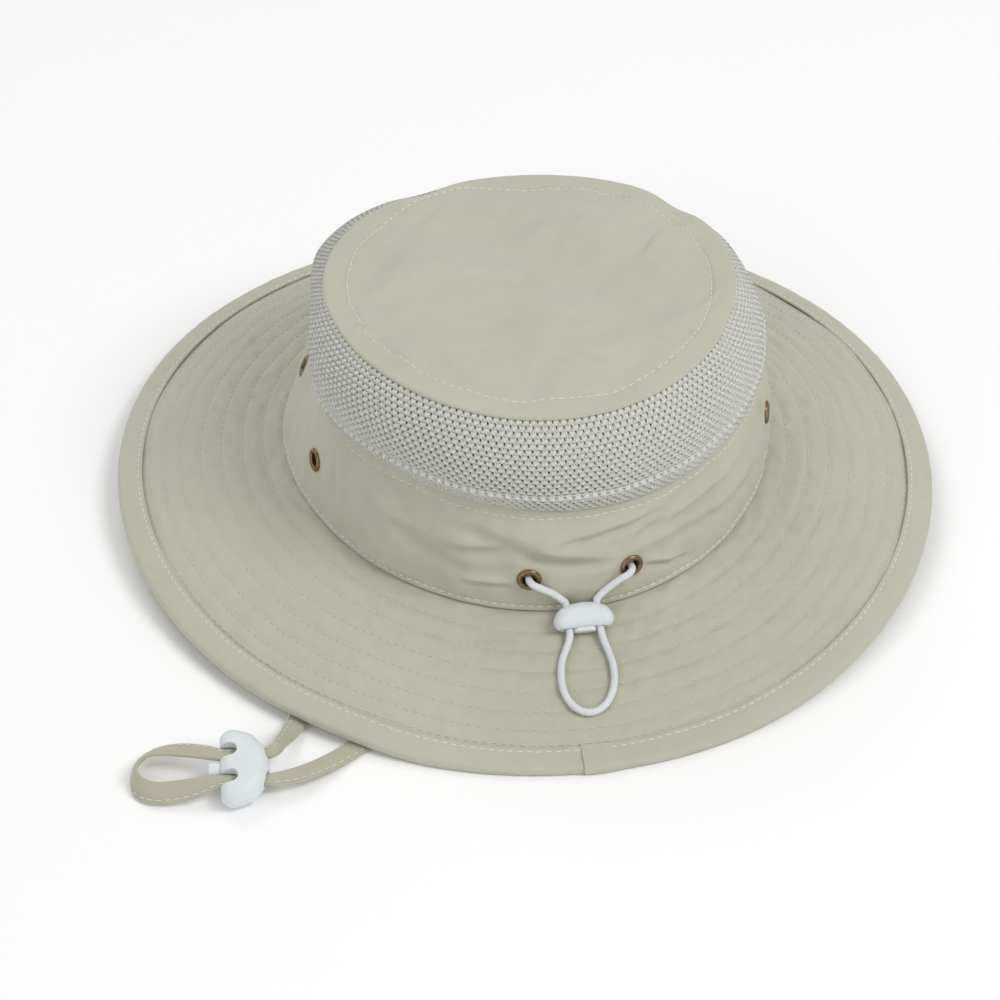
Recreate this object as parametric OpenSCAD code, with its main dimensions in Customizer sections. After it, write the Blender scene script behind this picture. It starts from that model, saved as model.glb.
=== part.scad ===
// Boonie sun hat: flat round crown over a mesh vent band, wide stitched brim,
// drawcord with a lock at the rear, chin strap with a lock.
// Millimetres. +Z up, wearer faces -Y, so the drawcord is at +Y.
// The origin is on the table, under the middle of the brim.

/* [Crown] */
// Half width of the crown where it meets the brim, side to side
base_rx = 90; // [86:1:96]
// Half length of the crown where it meets the brim, front to back
base_ry = 97; // [92:1:102]
// Height of the crown seam above the table, averaged round the hat
base_h = 20.5; // [20:0.5:24]
// How far the crown seam rises at the sides and drops at front and rear
base_wave = 3.2; // [0:0.2:4]
// Height of the cloth wall, from the brim seam to the mesh
wall_h = 44.5; // [40:0.5:48]
// How much the wall narrows on each side by the time it meets the mesh
wall_lean = 5; // [2:0.5:8]
// How much further the left side is pushed in at its top
side_in = 17; // [0:1:18]
// How much lower the wall's top lies at the left side
side_drop = 4.5; // [0:0.5:6]
// Half width of the crown's flat top
top_rx = 72; // [68:1:78]
// Half length of the crown's flat top
top_ry = 79; // [74:1:84]
// How far the top sits behind the middle of the hat
top_back = 6; // [0:1:8]
// Height of the top seam above the table, averaged round the hat
top_h = 93; // [90:0.5:98]
// How much higher the top seam stands at the rear than at its middle
top_tilt = 4.5; // [0:0.5:6]
// How far the middle of the top rises above its seam
top_dome = 3; // [1:0.5:5]
// How far the mesh band bulges outwards
mesh_bulge = 5.5; // [0:0.5:7]
// Height of the folded hem at the bottom of the mesh
hem_h = 6; // [4:0.5:8]

/* [Brim] */
// Width of the brim from the crown seam to its edge, seen from above
brim_w = 62.5; // [55:0.5:70]
// Height of the brim's top face at its edge, averaged round the hat
edge_h = 6.2; // [5.5:0.1:8]
// How far the brim's edge rises at the sides and drops at front and rear
edge_wave = 4.5; // [3:0.5:6]
// How far the edge is lifted where it lies over the chin strap
strap_lift = 1.8; // [1.6:0.1:3]
// Width of the binding that wraps the brim's edge
bind_w = 9.4; // [8:0.2:11]
// Thickness of one cloth layer
cloth = 0.8; // [0.6:0.1:0.8]

/* [Eyelets] */
// Angle of each cord eyelet from the rear middle
cord_eyelet_a = 11.7; // [10:0.1:13]
// Height of the cord eyelets above the brim seam
cord_eyelet_h = 14.5; // [13:0.5:16]
// Angle from the left side of the hat back to the rear left vent eyelet
vent_left_a = 19; // [15:1:24]
// Angle from the right side of the hat back to the rear right vent eyelet
vent_right_a = 22; // [15:1:24]
// Angle from the side of the hat forward to the front vent eyelets
vent_front_a = 16; // [14:1:30]
// Height of the vent eyelets above the brim seam
vent_h = 21.5; // [20:0.5:24]
// Outer diameter of an eyelet's rolled rim
eyelet_od = 8.6; // [8:0.2:9]
// Diameter of the hole through an eyelet
eyelet_id = 4.8; // [4.4:0.1:5]

/* [Cord and strap] */
// Diameter of the elastic drawcord
cord_d = 2.6; // [2.4:0.1:2.8]
// Width of the flat chin strap
strap_w = 7.5; // [6.5:0.5:8]
// Thickness of the flat chin strap
strap_t = 1.6; // [1.2:0.1:1.6]

/* [Locks] */
// Length of the drawcord lock, across the cords
rear_lock_l = 21.2; // [21:0.1:24]
// Depth of the drawcord lock, along the cords
rear_lock_d = 10; // [10:0.5:11]
// Thickness of the drawcord lock
rear_lock_t = 7.2; // [7:0.1:8.4]
// Length of the chin lock, across the strap
chin_lock_l = 29; // [28:0.5:31]
// Depth of the chin lock, along the strap
chin_lock_d = 17; // [16:0.5:18]
// Thickness of the chin lock
chin_lock_t = 10; // [9.5:0.5:10.5]

/* [Hidden] */

khaki = [0.72, 0.70, 0.61];
mesh_grey = [0.83, 0.83, 0.79];
antique_brass = [0.45, 0.36, 0.24];
white = [0.93, 0.95, 0.96];
steel = [0.70, 0.70, 0.72];

segments = 72;
turn = [for (i = [0:segments - 1]) i * 360 / segments];

wall_t = 1;
mesh_t = 1.5;
seam_in = 6.6;
bind_t = 0.6;
brim_t = 3 * cloth;
floor_h = brim_t + bind_t;
rest_w = 5;
overlap_from = 86;
overlap_to = 92;

// ---- heights round the hat, as functions of the angle from +X ----

function base_z(a) = base_h + base_wave * cos(2 * a);
function signed(a) = a > 180 ? a - 360 : a;
function swell(a, middle, width) = exp(-pow((signed(a) - middle) / width, 2));
function wall_rise(a) = wall_h + 2 * cos(2 * a) + 3 * cos(a) - side_drop * swell(a, 5, 30);
function lean_in(a) = wall_lean + side_in * swell(a, -11, 24);
function top_z(a) = top_h + top_tilt * sin(a) + 3 * cos(2 * a) - cos(a);
function strap_bump(a) = strap_lift * exp(-pow((a - 52) / 11, 2));
function edge_z(a) = edge_h + edge_wave * cos(2 * a) - sin(2 * a) + strap_bump(a);

// ---- points on the hat's surfaces ----
// off is the distance outwards from the outer face, so inner layers have off < 0

function oval(a, rx, ry, cy, z) = [rx * cos(a), cy + ry * sin(a), z];

// h runs from 0 at the brim seam to 1 at the mesh
function wall_point(a, h, off) =
  let (lean = lean_in(a) * h, bow = 1.2 * 4 * h * (1 - h) + off)
  oval(a, base_rx - lean + bow, base_ry - lean * 1.1 + bow, 0, base_z(a) + wall_rise(a) * h);

// h runs from 0 at the wall to 1 at the top seam
function mesh_point(a, h, off) =
  let (bow = (mesh_bulge + 1.5 * cos(a)) * 4 * h * (1 - h) + off,
       z0 = base_z(a) + wall_rise(a),
       low_rx = base_rx - lean_in(a),
       low_ry = base_ry - lean_in(a) * 1.1)
  oval(a,
       low_rx + (top_rx - low_rx) * h + bow,
       low_ry + (top_ry - low_ry) * h + bow,
       top_back * h,
       z0 + (top_z(a) - wall_t - z0) * h);

// r runs from 0 in the middle of the top to 1 at its seam
function top_point(a, r, drop) =
  oval(a, top_rx * r, top_ry * r, top_back,
       top_h + (top_z(a) - top_h) * r * r + top_dome * (1 - r * r) - drop);

// u is the distance out from the crown seam, drop is down from the brim's top face.
// The brim slopes evenly out to rest_w from its edge; where it meets the table, the
// rest of it lies flat
function slope_z(a, u) = base_z(a) + (edge_z(a) - base_z(a)) * u / brim_w;
function rest_z(a, u) = max(floor_h, slope_z(a, u));
function brim_z(a, u) =
  let (bend_u = brim_w - rest_w, bend_z = rest_z(a, bend_u))
  u < bend_u
    ? base_z(a) + (bend_z - base_z(a)) * max(0, u) / bend_u
    : bend_z + (rest_z(a, brim_w) - bend_z) * (u - bend_u) / rest_w;
function brim_point(a, u, drop) = oval(a, base_rx + u, base_ry + u, 0, brim_z(a, u) - drop);

// ---- shapes swept round the hat or along a route ----

// Joins sections of equal length; the first "outer" sides of a section face up
// or outwards, and share their diagonals with the layer that lies on them, as do
// the sides listed in "inside"
function side_faces(a, b, c, d, outer) =
  outer ? [[a, c, b], [a, d, c]] : [[a, d, b], [b, d, c]];

module ring(sections, outer, inside = []) {
  n = len(sections);
  m = len(sections[0]);
  polyhedron(
    points = [for (s = sections) each s],
    faces = [for (i = [0:n - 1], j = [0:m - 1])
      let (i2 = (i + 1) % n, j2 = (j + 1) % m)
      each side_faces(i * m + j, i * m + j2, i2 * m + j2, i2 * m + j,
                      j < outer || len([for (k = inside) if (k == j) k]) > 0)]
  );
}

module strip(sections, outer) {
  n = len(sections);
  m = len(sections[0]);
  polyhedron(
    points = [for (s = sections) each s],
    faces = concat(
      [for (i = [0:n - 2], j = [0:m - 1])
        let (j2 = (j + 1) % m)
        each side_faces(i * m + j, i * m + j2, (i + 1) * m + j2, (i + 1) * m + j, j < outer)],
      [[for (j = [0:m - 1]) j]],
      [[for (j = [m - 1:-1:0]) (n - 1) * m + j]]
    )
  );
}

function unit(v) = v / norm(v);

// A smooth curve through the points, "steps" pieces to each gap between them
function curve_point(p, i, u) =
  let (n = len(p), a = p[max(0, i - 1)], b = p[i], c = p[min(n - 1, i + 1)], d = p[min(n - 1, i + 2)])
  0.5 * (2 * b + (c - a) * u + (2 * a - 5 * b + 4 * c - d) * u * u + (3 * b - a - 3 * c + d) * u * u * u);
function curve(p, steps) =
  concat([for (i = [0:len(p) - 2], k = [0:steps - 1]) curve_point(p, i, k / steps)], [p[len(p) - 1]]);
function xyz(p) = [p[0], p[1], p[2]];

function direction(p, i) = unit(xyz(p[min(len(p) - 1, i + 1)]) - xyz(p[max(0, i - 1)]));

// Flat or round tube; each point is [x, y, z, roll, width, thickness].
// roll 0 lays the width level, 90 stands it on edge
module tube(route, sides) {
  p = route;
  sections = [for (i = [0:len(p) - 1])
    let (t = direction(p, i),
         level = norm(cross([0, 0, 1], t)) > 0.02 ? unit(cross([0, 0, 1], t)) : [1, 0, 0],
         up = cross(t, level),
         w = level * cos(p[i][3]) + up * sin(p[i][3]),
         v = cross(t, w))
    [for (k = [0:sides - 1])
      let (a = (k + 0.5) * 360 / sides)
      xyz(p[i]) + w * (p[i][4] / 2 * cos(a)) / cos(180 / sides) + v * (p[i][5] / 2 * sin(a)) / cos(180 / sides)]];
  strip(sections, sides);
}

// ---- fabric ----

// A disc-like shell: rings of points from the seam inwards, then the middle
module crown_top() {
  radii = [1, 0.92, 0.6, 0.3];
  n = segments;
  k = len(radii);
  upper = [for (r = radii, a = turn) top_point(a, r, 0)];
  lower = [for (r = radii, a = turn) top_point(a, r, wall_t)];
  mid = 2 * n * k;
  color(khaki)
    polyhedron(
      points = concat(upper, lower, [top_point(0, 0, 0), top_point(0, 0, wall_t)]),
      faces = concat(
        [for (r = [0:k - 2], i = [0:n - 1])
          let (a = r * n + i, b = r * n + (i + 1) % n)
          each [[a, a + n, b + n], [a, b + n, b]]],
        [for (r = [0:k - 2], i = [0:n - 1])
          let (a = (k + r) * n + i, b = (k + r) * n + (i + 1) % n)
          each [[a, b + n, a + n], [a, b, b + n]]],
        [for (i = [0:n - 1]) [(k - 1) * n + i, mid, (k - 1) * n + (i + 1) % n]],
        [for (i = [0:n - 1]) [(2 * k - 1) * n + i, (2 * k - 1) * n + (i + 1) % n, mid + 1]],
        [for (i = [0:n - 1])
          let (a = i, b = (i + 1) % n)
          each [[a, b, b + k * n], [a, b + k * n, a + k * n]]]
      )
    );
}

module crown_seam_tape() {
  color(khaki)
    ring([for (a = turn) [
      mesh_point(a, 0.97, -mesh_t - 1.2), mesh_point(a, 0.97, -mesh_t - 0.6),
      mesh_point(a, 0.86, -mesh_t - 0.6), mesh_point(a, 0.75, -mesh_t - 0.6),
      mesh_point(a, 0.75, -mesh_t - 1.2), mesh_point(a, 0.86, -mesh_t - 1.2)
    ]], 3);
}

module mesh_band() {
  hem = hem_h / 30;
  color(mesh_grey)
    ring([for (a = turn) [
      mesh_point(a, 1, -mesh_t), mesh_point(a, 1, 0), mesh_point(a, 0.86, 0), mesh_point(a, 0.6, 0),
      mesh_point(a, hem, 0), mesh_point(a, hem, 0.5), mesh_point(a, 0, 0.5),
      mesh_point(a, 0, -mesh_t), mesh_point(a, hem, -mesh_t), mesh_point(a, 0.6, -mesh_t),
      mesh_point(a, 0.86, -mesh_t)
    ]], 6);
}

function wall_normal(a, h) =
  unit(cross(wall_point(a + 2, h, 0) - wall_point(a - 2, h, 0),
             wall_point(a, h + 0.05, 0) - wall_point(a, h - 0.05, 0)));

// Carries its children to a point on the wall, with +Z pointing out of the hat
module on_wall(a, above) {
  h = above / wall_rise(a);
  n = wall_normal(a, h);
  translate(wall_point(a, h, 0))
    rotate([0, acos(n[2]), atan2(n[1], n[0])])
      children();
}

vent_angles = [vent_left_a, 180 - vent_right_a, -vent_front_a, 180 + vent_front_a];
cord_angles = [90 - cord_eyelet_a, 90 + cord_eyelet_a];

module crown_wall() {
  levels = [1, 0.5, 0.32, 0.15, 0];
  last = len(levels) - 1;
  color(khaki)
    difference() {
      ring([for (a = turn) concat(
        [wall_point(a, 1, -wall_t)],
        [for (h = levels) wall_point(a, h, 0)],
        [for (i = [last:-1:1]) wall_point(a, levels[i], -wall_t)]
      )], last + 2);
      for (a = vent_angles)
        on_wall(a, vent_h) cylinder(h = 8, r = eyelet_id / 2 + 0.5, center = true, $fn = 12);
      for (a = cord_angles)
        on_wall(a, cord_eyelet_h) cylinder(h = 8, r = eyelet_id / 2 + 0.5, center = true, $fn = 12);
    }
}

casing_low = 5;
casing_high = 13.5;
casing_in = 5.3;
casing_angles = [for (a = [110:5:430]) a];

// Tape sewn inside the wall as a channel; it stops short of the cord eyelets
module cord_casing() {
  color(khaki)
    strip([for (a = casing_angles)
      let (lo = casing_low / wall_rise(a), hi = casing_high / wall_rise(a), e = 0.5 / wall_rise(a))
      [
        wall_point(a, hi, -casing_in), wall_point(a, hi, -wall_t - 0.1),
        wall_point(a, hi - e, -wall_t - 0.1), wall_point(a, hi - e, -casing_in + 0.5),
        wall_point(a, lo + e, -casing_in + 0.5), wall_point(a, lo + e, -wall_t - 0.1),
        wall_point(a, lo, -wall_t - 0.1), wall_point(a, lo, -casing_in)
      ]], 3);
}

sweat_h = 16;

module sweatband() {
  color(khaki)
    ring([for (a = turn)
      let (hi = sweat_h / wall_rise(a), lo = 1 / wall_rise(a))
      [
        wall_point(a, hi, -seam_in), wall_point(a, hi, -seam_in + 1),
        wall_point(a, lo, -seam_in + 1), wall_point(a, lo, -wall_t - 0.1),
        wall_point(a, 0.002, -wall_t - 0.1), wall_point(a, 0.002, -seam_in)
      ]], 3);
}

function is_overlap(a) = a > overlap_from && a < overlap_to;

// The brim's angles, with two close pairs where the binding's ends step up and down
brim_turn = concat(
  [for (a = turn) if (a < overlap_from) a],
  [overlap_from - 0.2, overlap_from + 0.2],
  [for (a = turn) if (is_overlap(a)) a],
  [overlap_to - 0.2, overlap_to + 0.2],
  [for (a = turn) if (a > overlap_to) a]
);

// One cloth layer of the brim, from "drop" to "drop + cloth" below its top face
module brim_layer(drop) {
  reach = [-seam_in, 0, 20, 42, brim_w - bind_w, brim_w - rest_w, brim_w - bind_t];
  last = len(reach) - 1;
  ring([for (a = brim_turn) concat(
    [for (u = reach) brim_point(a, u, drop)],
    [for (i = [last:-1:0]) brim_point(a, reach[i], drop + cloth)]
  )], last + 1);
}

module brim_upper() { color(khaki) brim_layer(0); }
module brim_interlining() { color("white") brim_layer(cloth); }
module brim_under() { color(khaki) brim_layer(2 * cloth); }

// Wraps the edge; its end lies over its start at the rear
module brim_binding() {
  in_u = brim_w - bind_w;
  bend_u = brim_w - rest_w;
  cut = brim_w - bind_t + 0.05;
  gap = 0.03;
  color(khaki)
    ring([for (a = brim_turn)
      let (top = -bind_t - (is_overlap(a) ? 0.5 : 0), under = brim_t + bind_t)
      [
        brim_point(a, in_u, top), brim_point(a, bend_u, top), brim_point(a, brim_w - 1, top),
        brim_point(a, brim_w, 0.4), brim_point(a, brim_w, brim_t - 0.4),
        brim_point(a, brim_w - 1, under), brim_point(a, bend_u, under), brim_point(a, in_u, under),
        brim_point(a, in_u, brim_t + gap), brim_point(a, bend_u, brim_t + gap),
        brim_point(a, cut, brim_t + gap), brim_point(a, cut, -gap),
        brim_point(a, bend_u, -gap), brim_point(a, in_u, -gap)
      ]], 4, [8, 9]);
}

// ---- eyelets ----

// Rolled rim with a barrel that passes through the wall
module eyelet() {
  rim = (eyelet_od - eyelet_id) / 4;
  rotate_extrude($fn = 48) {
    translate([eyelet_id / 2 + rim, 0.1])
      intersection() {
        circle(r = rim, $fn = 24);
        translate([-rim, 0]) square([2 * rim, rim]);
      }
    translate([eyelet_id / 2, -2]) square([0.3, 2.4]);
  }
}

module eyelet_washer() {
  rotate_extrude($fn = 48)
    translate([eyelet_id / 2 + 0.35, -wall_t - 0.65]) square([1.75, 0.5]);
}

module vent_eyelets() {
  color(antique_brass) for (a = vent_angles) on_wall(a, vent_h) eyelet();
}

module vent_washers() {
  color(antique_brass) for (a = vent_angles) on_wall(a, vent_h) eyelet_washer();
}

module cord_eyelets() {
  color(antique_brass) for (a = cord_angles) on_wall(a, cord_eyelet_h) eyelet();
}

module cord_washers() {
  color(antique_brass) for (a = cord_angles) on_wall(a, cord_eyelet_h) eyelet_washer();
}

// ---- drawcord ----

rear_lock_at = [1, 104, 20.6];
rear_lock_slope = 32;
rear_lock_turn = -3;
rear_hole = 5.4;

// From the left eyelet through the lock, round the loop, and back to the right eyelet
drawcord_route = [
  [17.6, 91.6, 31.7], [18.2, 94.9, 32.0], [17.0, 97.2, 31.6], [14.2, 97.8, 30.0], [10.6, 97.9, 27.4],
  [7.6, 98.5, 24.6], [6.2, 99.5, 23.1], [6.4, 103.7, 20.5], [6.6, 108.0, 17.9], [7.4, 110.6, 16.3],
  [9.0, 113.2, 14.9], [11.4, 117.6, 13.6], [12.9, 123.0, 12.3], [13.3, 128.0, 11.1], [12.5, 132.6, 9.9],
  [10.3, 136.3, 9.0], [6.9, 138.4, 8.5], [2.9, 137.9, 8.6], [-0.6, 135.4, 9.3], [-3.2, 131.6, 10.2],
  [-4.9, 127.0, 11.4], [-5.6, 121.8, 12.7], [-5.3, 116.6, 13.9], [-4.6, 112.0, 15.4], [-4.2, 108.6, 17.9],
  [-4.4, 104.3, 20.5], [-4.6, 100.1, 23.1], [-6.0, 98.9, 24.4], [-9.0, 98.1, 26.6], [-12.8, 97.9, 29.4],
  [-16.6, 97.3, 31.2], [-18.2, 94.9, 31.6], [-17.6, 91.6, 31.3]
];

function round_cord(p) = [p[0], p[1], p[2], 0, cord_d, cord_d];

module drawcord() {
  color(white) tube(curve([for (p = drawcord_route) round_cord(p)], 2), 8);
}

// The rest of the same cord, round the head inside the casing
hidden_low = 9.3;
hidden_in = 3.1;
function hidden_point(a, above, off) =
  round_cord(wall_point(a, above / wall_rise(a), -off));

module drawcord_hidden_run() {
  first = 90 + cord_eyelet_a;
  last = 450 - cord_eyelet_a;
  mid_run = [for (a = [first + 9:6.2:last - 9]) hidden_point(a, hidden_low, hidden_in)];
  color(white)
    tube(concat(
      [hidden_point(first, cord_eyelet_h, 2.2), hidden_point(first + 0.8, cord_eyelet_h - 0.3, 3.2),
       hidden_point(first + 2.5, cord_eyelet_h - 1.2, 4), hidden_point(first + 5.5, hidden_low + 1.2, 3.6)],
      mid_run,
      [hidden_point(last - 5.5, hidden_low + 1.2, 3.6), hidden_point(last - 2.5, cord_eyelet_h - 1.2, 4),
       hidden_point(last - 0.8, cord_eyelet_h - 0.3, 3.2), hidden_point(last, cord_eyelet_h, 2.2)]
    ), 8);
}

// ---- cord locks ----
// In a lock's own frame the cords run along X, the loop is on the +X side, and
// the two holes are side by side along Y

// Rounded slot of the given size, extruded along X
module slot_bar(from_x, to_x, w, t) {
  translate([from_x, 0, 0])
    rotate([90, 0, 90])
      linear_extrude(height = to_x - from_x)
        union() {
          square([w - t, t], center = true);
          translate([(w - t) / 2, 0]) circle(d = t, $fn = 32);
          translate([-(w - t) / 2, 0]) circle(d = t, $fn = 32);
        }
}

// Half an oval seen from above, with its round side at -X and a flat face at +X
module lock_shell(l, d, t) {
  r = t / 2;
  difference() {
    hull()
      for (a = [-90:30:90])
        translate([d / 2 - r - (d - t) * cos(a), (l / 2 - r) * sin(a), 0]) sphere(r = r, $fn = 32);
    translate([d / 2 - lock_flat, -l, -t]) cube([t, 2 * l, 2 * t]);
  }
}

lock_flat = 0.6;
play = 0.15;

// Body with two holes and a pocket for the plunger, which bears on both cords
// notch_l above 0 opens each hole upwards over that length from the flat face
module lock_body(l, d, t, hole_y, hole_w, hole_t, stub_w, stub_t, floor_x, notch_w = 0, notch_l = 0) {
  difference() {
    lock_shell(l, d, t);
    for (s = [-1, 1])
      translate([0, s * hole_y, 0]) {
        slot_bar(-d, d, hole_w, hole_t);
        if (notch_l > 0) translate([d / 2 - lock_flat - notch_l + notch_w / 2, 0, 0]) notch(notch_w, d, t);
      }
    slot_bar(floor_x, d, stub_w + 2 * play, stub_t + 2 * play);
  }
}

// Cutter that is round at its inner end and open towards +X and upwards
module notch(w, run, t) {
  cylinder(h = t, d = w, $fn = 48);
  translate([0, -w / 2, 0]) cube([run, w, t]);
}

// Plunger with a toothed grip on each side that faces a cord
module lock_plunger(from_x, to_x, w, t, tooth_x) {
  difference() {
    slot_bar(from_x, to_x, w, t);
    for (s = [-1, 1], x = tooth_x)
      translate([x, s * w / 2, 0]) cylinder(h = 2 * t, r = 0.35, center = true, $fn = 16);
  }
}

module lock_spring(from_x, to_x, coil_r, wire, turns) {
  n = 12 * turns;
  span = to_x - from_x - wire;
  tube([for (i = [0:n])
    [from_x + wire / 2 + span * i / n, coil_r * cos(30 * i), coil_r * sin(30 * i), 0, wire, wire]], 6);
}

module place_rear_lock() {
  translate(rear_lock_at) rotate([0, 0, 90 + rear_lock_turn]) rotate([0, rear_lock_slope, 0]) children();
}

rear_stub_w = 7.7;
rear_stub_t = 3.4;
rear_floor_x = 1.4 - rear_lock_d / 2;
rear_spring_l = 3.4;
rear_stub_out = 1.3;

module rear_lock_body() {
  color(white)
    place_rear_lock()
      lock_body(rear_lock_l, rear_lock_d, rear_lock_t, rear_hole, 3.301, 3.3,
                rear_stub_w, rear_stub_t, rear_floor_x);
}

module rear_lock_plunger() {
  start = rear_floor_x + rear_spring_l;
  color(white)
    place_rear_lock()
      lock_plunger(start, rear_lock_d / 2 - lock_flat + rear_stub_out, rear_stub_w, rear_stub_t,
                   [start + 1, start + 2, start + 3]);
}

module rear_lock_spring() {
  color(steel)
    place_rear_lock()
      lock_spring(rear_floor_x, rear_floor_x + rear_spring_l, 1.2, 0.35, 4);
}

// ---- chin strap ----

chin_lock_at = [124, 139.6, 7.1];
chin_lock_turn = -6;
chin_lock_tilt = 11;
chin_hole = 5.2;

// From the left seam down to the table, out under the brim, through the lock,
// round the loop, back through the lock and under the hat to the right seam.
// Each point is [x, y, z, roll, share of the width, share of the thickness]
chin_strap_route = [
  [91, 0, 20.1, 0, 1, 1], [87, 0.6, 20.2, 0, 1, 1], [82, 3, 18.2, 0, 1, 1], [78.5, 8, 13, 0, 1, 1],
  [77.5, 15, 6.5, 0, 1, 1], [78.5, 24, 2, 0, 1, 1], [81, 40, 1, 0, 1, 1], [86, 62, 1, 0, 1, 1],
  [93, 88, 1, 0, 1, 1], [99, 106, 1.1, 0, 1, 1], [103.5, 117, 2, -8, 0.85, 1], [107, 124, 4.8, -40, 0.8, 1],
  [110, 129, 6.7, -60, 0.72, 1.1], [112.9, 133.6, 7.8, -45, 0.6, 1.4], [116.5, 135.2, 8.1, -11, 0.56, 1.5],
  [121.5, 134.7, 8.1, -11, 0.56, 1.5], [126, 134.2, 8.2, -11, 0.56, 1.5], [130.9, 133.9, 8.9, -8, 0.56, 1.4],
  [136.2, 131, 8.4, 4, 0.82, 1.1], [143, 127.4, 7.2, 10, 0.95, 1], [150, 125, 6, 24, 1, 1],
  [155.8, 125.6, 4.9, 45, 1, 1], [159.4, 129.6, 4.3, 66, 1, 1], [160.3, 134.4, 4.1, 68, 1, 1],
  [158.8, 138.8, 4, 56, 1, 1], [154, 142, 3.9, 43, 1, 1], [146, 143.4, 4.6, 36, 1, 1],
  [139, 144, 6, 28, 0.85, 1.1], [133, 144, 7, 13, 0.57, 1.4], [127.5, 144.4, 6.3, 11, 0.56, 1.5],
  [122.5, 144.9, 6.1, 11, 0.56, 1.5], [117.6, 145.4, 6.1, 11, 0.56, 1.5], [112.5, 145.2, 5.4, 5, 0.75, 1.3],
  [105.5, 143, 3.9, 0, 0.95, 1.1], [95, 137.6, 1.9, 0, 1, 1], [85, 131.4, 1, 0, 1, 1], [68, 121, 1, 0, 1, 1],
  [45, 105, 1, 0, 1, 1], [18, 84, 1, 0, 1, 1], [-10, 61, 1, 0, 1, 1], [-36, 39, 1, 0, 1, 1],
  [-56, 23, 1.4, 0, 1, 1], [-67, 14.5, 4, 0, 1, 1], [-74, 9, 9, 0, 1, 1], [-79.5, 4, 15.5, 0, 1, 1],
  [-83.5, 1, 19, 0, 1, 1], [-87.5, 0.2, 20.2, 0, 1, 1], [-91, 0, 20.1, 0, 1, 1]
];

module chin_strap() {
  sized = [for (p = chin_strap_route) [p[0], p[1], p[2], p[3], strap_w * p[4], strap_t * p[5]]];
  color(khaki) tube(curve(sized, 2), 8);
}

module place_chin_lock() {
  translate(chin_lock_at) rotate([0, 0, chin_lock_turn]) rotate([-chin_lock_tilt, 0, 0]) children();
}

chin_stub_w = 5.2;
chin_stub_t = 4;
chin_floor_x = 2 - chin_lock_d / 2;
chin_spring_l = 5.5;
chin_stub_out = 4;
chin_notch_w = 4.8;
chin_notch_l = 5.8;

module chin_lock_body() {
  color(white)
    place_chin_lock()
      lock_body(chin_lock_l, chin_lock_d, chin_lock_t, chin_hole, 5.4, 3.6,
                chin_stub_w, chin_stub_t, chin_floor_x, chin_notch_w, chin_notch_l);
}

module chin_lock_plunger() {
  start = chin_floor_x + chin_spring_l;
  color(white)
    place_chin_lock()
      lock_plunger(start, chin_lock_d / 2 - lock_flat + chin_stub_out, chin_stub_w, chin_stub_t,
                   [start + 1.2, start + 2.4, start + 3.6]);
}

module chin_lock_spring() {
  color(steel)
    place_chin_lock()
      lock_spring(chin_floor_x, chin_floor_x + chin_spring_l, 1.6, 0.5, 4);
}

crown_top();
crown_seam_tape();
mesh_band();
crown_wall();
cord_casing();
sweatband();
brim_upper();
brim_interlining();
brim_under();
brim_binding();
vent_eyelets();
vent_washers();
cord_eyelets();
cord_washers();
drawcord();
drawcord_hidden_run();
rear_lock_body();
rear_lock_plunger();
rear_lock_spring();
chin_strap();
chin_lock_body();
chin_lock_plunger();
chin_lock_spring();
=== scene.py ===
import bmesh
import bpy
import numpy as np
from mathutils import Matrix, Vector


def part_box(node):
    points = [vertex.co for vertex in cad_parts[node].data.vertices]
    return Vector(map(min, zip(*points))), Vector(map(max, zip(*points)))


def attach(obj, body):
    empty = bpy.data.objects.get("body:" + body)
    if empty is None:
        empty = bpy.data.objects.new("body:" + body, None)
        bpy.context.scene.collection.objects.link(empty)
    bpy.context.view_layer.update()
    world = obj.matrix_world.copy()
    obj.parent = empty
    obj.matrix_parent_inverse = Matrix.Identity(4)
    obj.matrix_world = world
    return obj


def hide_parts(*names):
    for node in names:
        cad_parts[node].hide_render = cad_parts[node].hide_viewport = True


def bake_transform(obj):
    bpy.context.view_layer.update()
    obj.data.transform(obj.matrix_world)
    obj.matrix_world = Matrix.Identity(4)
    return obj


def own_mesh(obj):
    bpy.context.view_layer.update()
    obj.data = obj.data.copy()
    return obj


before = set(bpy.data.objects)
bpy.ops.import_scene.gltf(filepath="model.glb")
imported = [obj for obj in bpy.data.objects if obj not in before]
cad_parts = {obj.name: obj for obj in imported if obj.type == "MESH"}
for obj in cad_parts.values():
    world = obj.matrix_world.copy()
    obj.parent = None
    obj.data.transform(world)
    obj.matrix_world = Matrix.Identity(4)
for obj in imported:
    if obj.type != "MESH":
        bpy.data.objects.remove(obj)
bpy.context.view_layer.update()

# A boonie sun hat. Sizes below are in millimetres, as in the CAD source, and become
# metres when a mesh is made. Angles are in degrees from +X, and the rear is at 90.

MM = 0.001


def box_mm(node):
    low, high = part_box(node)
    return np.array(low) * 1000, np.array(high) * 1000


wall_box, top_box = box_mm("crown_wall"), box_mm("crown_top")
edge_box, brim_box = box_mm("brim_binding"), box_mm("brim_upper")

# ---- the hat's dimensions ----

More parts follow.
